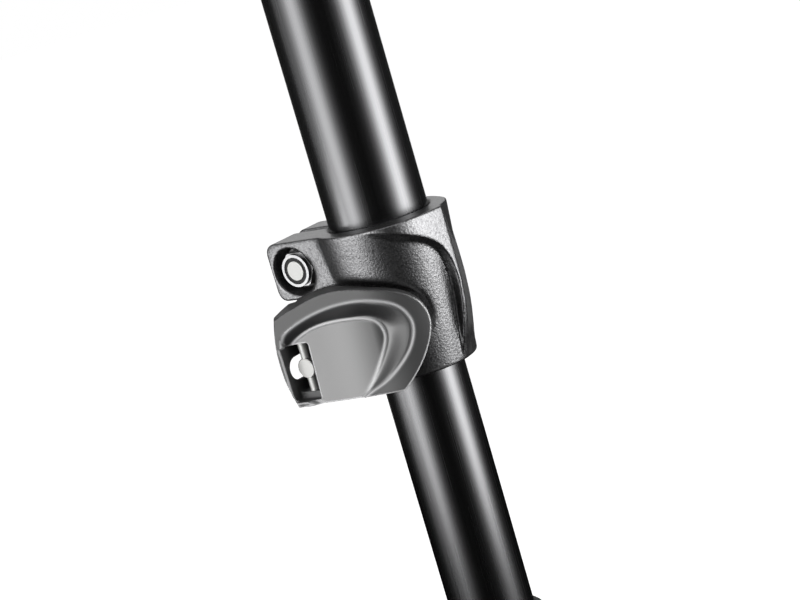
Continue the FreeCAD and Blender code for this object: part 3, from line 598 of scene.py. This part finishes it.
# %% Tubes
for node in ("upper_tube", "lower_tube"):
    dressed_copy(node)

# %% [markdown]
# The collar is the die casting and the lever the moulding, and both get a skin of even cells.
# The lever's cells are finer, because its beads are narrow. The collar has more surface, so
# half of its triangles are taken out again where it is flat enough.

# %% Collar and lever
COLLAR_CELL = 0.33 * MM
COLLAR_PASSES = 12
COLLAR_KEPT = 0.5
LEVER_CELL = 0.28 * MM
LEVER_PASSES = 5
collar = dressed_copy("lock_collar")
moulded_skin(collar, COLLAR_CELL, COLLAR_PASSES, COLLAR_KEPT)
lever = dressed_copy("lock_lever")
moulded_skin(lever, LEVER_CELL, LEVER_PASSES)

# %% [markdown]
# The lever's edges get a painted highlight, a light grey in the colour where small rounds would
# catch the panels. The material finds them by how sharply the surface bends, one over the radius
# in millimetres. It is measured at each vertex from its neighbours: how far they lie below the
# vertex's own tangent plane. On a round of radius r, a neighbour at distance d lies d * d / 2r
# below it, so 2 * fall / (d * d) is 1 / r.

# %% How sharply the surface bends
def settled(piece):
    """Turns the piece's modifiers into plain mesh."""
    graph = bpy.context.evaluated_depsgraph_get()
    mesh = bpy.data.meshes.new_from_object(piece.evaluated_get(graph), depsgraph=graph)
    piece.modifiers.clear()
    piece.data = mesh
    return mesh


def read_values(items, field, width=1, kind=float):
    """One field of all vertices, edges or attribute values, as an array."""
    values = np.empty(len(items) * width, dtype=kind)
    items.foreach_get(field, values)
    return values.reshape(-1, width) if width > 1 else values


def store(mesh, name, values):
    """Keeps one number for each vertex as an attribute."""
    made = mesh.attributes.get(name) or mesh.attributes.new(name, "FLOAT", "POINT")
    made.data.foreach_set("value", values)


def mark_bends(mesh, passes):
    """Stores the bend of each vertex as an attribute, evened out over a few neighbours."""
    count = len(mesh.vertices)
    places = read_values(mesh.vertices, "co", 3) / MM
    normals = read_values(mesh.vertex_normals, "vector", 3)
    ends = read_values(mesh.edges, "vertices", 2, int)
    both = np.vstack((ends, ends[:, ::-1]))
    step = places[both[:, 0]] - places[both[:, 1]]
    fall = np.einsum("ij,ij->i", step, normals[both[:, 0]])
    each = 2 * fall / np.einsum("ij,ij->i", step, step)
    links = np.bincount(both[:, 0], minlength=count)
    bend = np.abs(np.bincount(both[:, 0], each, minlength=count) / links)
    for _ in range(passes):
        near = np.bincount(both[:, 0], bend[both[:, 1]], minlength=count) / links
        bend = (bend + near) / 2
    store(mesh, "bend", bend)
    print("bends: median", round(float(np.median(bend)), 2), "sharpest",
          round(float(bend.max()), 2), "per mm; sharper than the limit:",
          round(float((bend > EDGE_BEND_FROM).mean()), 3))


LEVER_BEND_PASSES = 3
lever_mesh = settled(lever)
mark_bends(lever_mesh, LEVER_BEND_PASSES)

# %% [markdown]
# The finger recess is the lever's finest form. A bead runs round its outside and another round
# the pad in it. Both outlines are given as they were measured, in millimetres across the turned
# view and up from the lock's lower end. Cutting their corners three times over, each time at a
# quarter of the way, turns them into smooth curves.

# %% Outlines of the finger recess
LOCK_LOW = -259.75
RIM_LINE = [(-19.2, -2.4), (-17.0, -0.5), (-10.3, 2.7), (-5.1, 6.7), (-1.2, 10.8), (1.1, 16.2),
            (-0.1, 20.8), (-3.3, 24.1), (-9.4, 26.3), (-16.5, 26.7), (-24.2, 25.5),
            (-32.0, 22.6), (-36.7, 19.6), (-37.6, 12.0), (-37.4, 7.0), (-36.5, 1.6),
            (-33.5, -0.6), (-29.0, -2.6), (-19.2, -6.0)]
PAD_LINE = [(-19.2, -2.4), (-17.4, -0.8), (-13.4, 3.9), (-10.0, 9.5), (-8.0, 13.4),
            (-7.6, 15.6), (-8.3, 18.6), (-10.9, 20.6), (-15.3, 21.4), (-21.6, 21.5),
            (-27.0, 20.6), (-32.4, 18.2), (-36.0, 15.3), (-36.3, 12.0), (-36.1, 7.0),
            (-35.2, 2.8), (-32.6, 0.5), (-28.4, -1.8), (-19.2, -6.0)]
CORNER_CUTS = 3


def rounded(line):
    """A closed outline with its corners cut again and again."""
    outline = np.array(line)
    for _ in range(CORNER_CUTS):
        following = np.roll(outline, -1, axis=0)
        cut = (0.75 * outline + 0.25 * following, 0.25 * outline + 0.75 * following)
        outline = np.stack(cut, axis=1).reshape(-1, 2)
    return outline


def inside_by(line, spots):
    """How far each spot lies inside a closed outline, negative outside."""
    outline = rounded(line)
    nearest = np.full(len(spots), np.inf)
    within = np.zeros(len(spots), dtype=bool)
    for first, last in zip(outline, np.roll(outline, -1, axis=0)):
        edge = last - first
        share = np.clip((spots - first) @ edge / (edge @ edge), 0, 1)
        off = np.linalg.norm(spots - first - share[:, None] * edge, axis=1)
        nearest = np.minimum(nearest, off)
        if edge[1]:
            crossing = first[0] + (spots[:, 1] - first[1]) * edge[0] / edge[1]
            passed = (spots[:, 1] > first[1]) != (spots[:, 1] > last[1])
            within ^= passed & (spots[:, 0] < crossing)
    return np.where(within, nearest, -nearest)


def eased(value, start, end):
    """0 before the start, 1 after the end and an S between them."""
    share = np.clip((value - start) / (end - start), 0, 1)
    return share * share * (3 - 2 * share)


print("the recess has outlines of", len(rounded(RIM_LINE)), "and", len(rounded(PAD_LINE)),
      "points")

# %% [markdown]
# The pad is slightly cushioned, brightest in the middle and dark at its right end, and the wall
# on its right swings up to the rim in an S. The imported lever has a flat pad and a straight
# wall, and the cam's barrel stands out of its left rim. So the vertices of its skin are moved
# in or out, by a millimetre and a half at most. Displacement by a texture could do it too, but
# here each form has its own size in millimetres.

# %% Forms of the finger recess
LEVER_R = 23.9
LEVER_FLARE = math.radians(9.6)
PAD_DEPTH = 1.195
PAD_LEAN = 0.0607
PAD_MIDDLE = 12.0
PAD_RIGHT = -5.0
PAD_FADE = 1.5
PAD_LIFT = 0.6
PAD_BEND_LEFT = 0.0112
PAD_BEND_RIGHT = 0.0165
SWING_FROM = 6.0
EDGE_KEPT = 0.5
TINY = 1e-6


def lie_on_lever(places):
    """How far along the lever each place is, which way is out there, and its depth."""
    along = -(places[:, 0] * math.cos(LEVER_FLARE) + places[:, 1] * math.sin(LEVER_FLARE))
    outward = np.stack((places[:, 0], places[:, 1], 0 * along), axis=1)
    radius = np.linalg.norm(outward, axis=1)
    outward /= radius[:, None]
    straight = np.array((math.sin(LEVER_FLARE), -math.cos(LEVER_FLARE), 0))
    outward[along > 0] = straight
    depth = LEVER_R - np.where(along > 0, places @ straight, radius)
    return along, outward, depth


def recess_share(along, wall, in_rim, in_pad):
    """0 on the rim and 1 on the pad; between them the solid's wall, or the S on the right."""
    swing = eased(in_rim / (in_rim - np.minimum(in_pad, 0) + TINY), 0, 1)
    swing[in_rim < 0] = 0
    swing[in_pad > 0] = 1
    at_edge = np.exp(-(in_rim / EDGE_KEPT) ** 2)
    swing += (wall - swing) * np.where(in_rim > 0, at_edge, 1)
    return wall + (swing - wall) * eased(along, SWING_FROM, PAD_RIGHT)


def pad_cushion(along):
    """How far the pad swells over its plane; past its right end it goes no lower."""
    kept = PAD_RIGHT + PAD_FADE * np.logaddexp(0, (along - PAD_RIGHT) / PAD_FADE)
    fall = np.where(kept > PAD_MIDDLE, PAD_BEND_LEFT, PAD_BEND_RIGHT)
    return PAD_LIFT - 0.5 * fall * (kept - PAD_MIDDLE) ** 2


print("pad sinks by", round(float(-pad_cushion(np.array(PAD_RIGHT))), 2), "mm at its right")

# %% [markdown]
# Now the skin moves. Only what faces outwards and lies hardly deeper than the pad belongs to it,
# so that the window and the lever's inside stay as they are. The top edge lies in the collar's
# shade, so its painted edge highlight is mostly taken off again, which paints that shade.

# %% Shaping the finger recess
SKIN_BELOW = 0.35
FACING_OUT = 0.3
BEAD_HEIGHT = 0.16
BEAD_WIDTH = 0.42
# Over these heights, in the collar's shade, the painted edge highlight fades down to this share.
TOP_EDGE_FROM = 20.0
TOP_EDGE_TO = 26.0
TOP_HIGHLIGHT_KEPT = 0.1


def shape_recess(mesh):
    """Moves the lever's skin to its finer form; stores the pad and the beads that carry the
    painted highlight.
    """
    places = read_values(mesh.vertices, "co", 3) / MM
    normals = read_values(mesh.vertex_normals, "vector", 3)
    along, outward, depth = lie_on_lever(places)
    spots = np.stack((places[:, :2] @ np.array(level_right.xy), places[:, 2] - LOCK_LOW),
                     axis=1)
    full = PAD_DEPTH + PAD_LEAN * spots[:, 1]
    shallow = depth < full + SKIN_BELOW
    skin = shallow & (np.einsum("ij,ij->i", normals, outward) > FACING_OUT)

    in_rim = inside_by(RIM_LINE, spots)
    in_pad = inside_by(PAD_LINE, spots)
    share = recess_share(along, np.clip(depth / full, 0, 1), in_rim, in_pad)
    beads = np.exp(-(in_rim / BEAD_WIDTH) ** 2) + np.exp(-(in_pad / BEAD_WIDTH) ** 2)
    lift = depth - share * (full - pad_cushion(along)) + BEAD_HEIGHT * beads
    lift[~skin] = 0

    # Painted shade: the edge highlight is kept only on the skin, and mostly taken off the top
    # edge.
    highlight_kept = 1 - (1 - TOP_HIGHLIGHT_KEPT) * eased(spots[:, 1], TOP_EDGE_FROM, TOP_EDGE_TO)
    bend = read_values(mesh.attributes["bend"].data, "value")
    store(mesh, "bend", np.where(shallow, bend * highlight_kept, 0))
    mesh.vertices.foreach_set("co", ((places + outward * lift[:, None]) * MM).ravel())
    store(mesh, "pad", np.where(skin, share, 0))
    store(mesh, "bead", np.where(skin, beads, 0))
    mesh.update()
    print("skin moved by", round(float(lift.min()), 2), "to", round(float(lift.max()), 2), "mm")


shape_recess(lever_mesh)

# %% [markdown]
# The collar's lower edge, where it makes room for the lever, is rolled over with a large radius.
# The sharp vertices there and some rings round them are collected, with less weight from ring
# to ring, and relaxed many times.

# %% The collar's rolled edge
ROLL_RINGS = 14
ROLL_FADE = 0.93
ROLL_PASSES = 120
ROLL_HIGHEST = 35.0
ROLL_LOWEST = 2.0
ROLL_RIGHT = 8.0
ROLL_LEFT = -24.0
ROLL_REARMOST = -8.0
COLLAR_BEND_PASSES = 1


def roll_edge(piece):
    """Rounds the collar's edge above the lever far more than the others."""
    mesh = settled(piece)
    mark_bends(mesh, COLLAR_BEND_PASSES)
    places = read_values(mesh.vertices, "co", 3) / MM
    bend = read_values(mesh.attributes["bend"].data, "value")
    across = places[:, 0] * level_right.x + places[:, 1] * level_right.y
    height = places[:, 2] - LOCK_LOW
    near = ((bend > EDGE_BEND_TO) & (places[:, 1] < ROLL_REARMOST)
            & (height < ROLL_HIGHEST) & (height > ROLL_LOWEST)
            & (across < ROLL_RIGHT) & (across > ROLL_LEFT)).astype(float)
    ends = read_values(mesh.edges, "vertices", 2, int)
    for _ in range(ROLL_RINGS):
        spread = near.copy()
        np.maximum.at(spread, ends[:, 0], near[ends[:, 1]] * ROLL_FADE)
        np.maximum.at(spread, ends[:, 1], near[ends[:, 0]] * ROLL_FADE)
        near = spread
    group = piece.vertex_groups.new(name="rolled")
    for index in np.flatnonzero(near > 0):
        group.add([int(index)], float(near[index]), "REPLACE")
    relax = piece.modifiers.new("rolled_edge", "SMOOTH")
    relax.factor = RELAX_FACTOR
    relax.iterations = ROLL_PASSES
    relax.vertex_group = group.name
    print("rolled edge:", int((near > 0).sum()), "of", len(near), "vertices")


roll_edge(collar)

# %% [markdown]
# Bolts, nuts and washers are turned and rolled. Their edges don't run into one another, so a
# bevel fits them. The pin and the plastic rings are small and get a narrower one.

# %% Fasteners
TURNED_EDGE = 0.22 * MM
SMALL_EDGE = 0.12 * MM
for node in ("collar_nut", "tension_nut", "collar_bolt", "clamp_bolt", "collar_washer",
             "clamp_washer", "foot_washer", "foot_screw", "cam_wear_plate"):
    break_edges(dressed_copy(node), TURNED_EDGE)
for node in ("lever_pin", "collar_nut_insert", "tension_nut_insert"):
    break_edges(dressed_copy(node), SMALL_EDGE)

# %% [markdown]
# Liner, bushes, cap and plug are moulded nylon that mostly hides in the tubes, so a smooth copy
# is enough. The rubber foot is seen from all sides, and rubber has no sharp edge anywhere.

# %% Inner parts and foot
FOOT_EDGE = 0.5 * MM
for node in ("collar_liner", "guide_bush_front", "guide_bush_rear", "tube_end_cap",
             "foot_plug"):
    dressed_copy(node)
break_edges(dressed_copy("rubber_foot"), FOOT_EDGE)

# %% [markdown]
# ## View transform
#
# The view transform is Standard, so that colours come out as they are written.

# %% View transform
bpy.context.scene.view_settings.view_transform = "Standard"
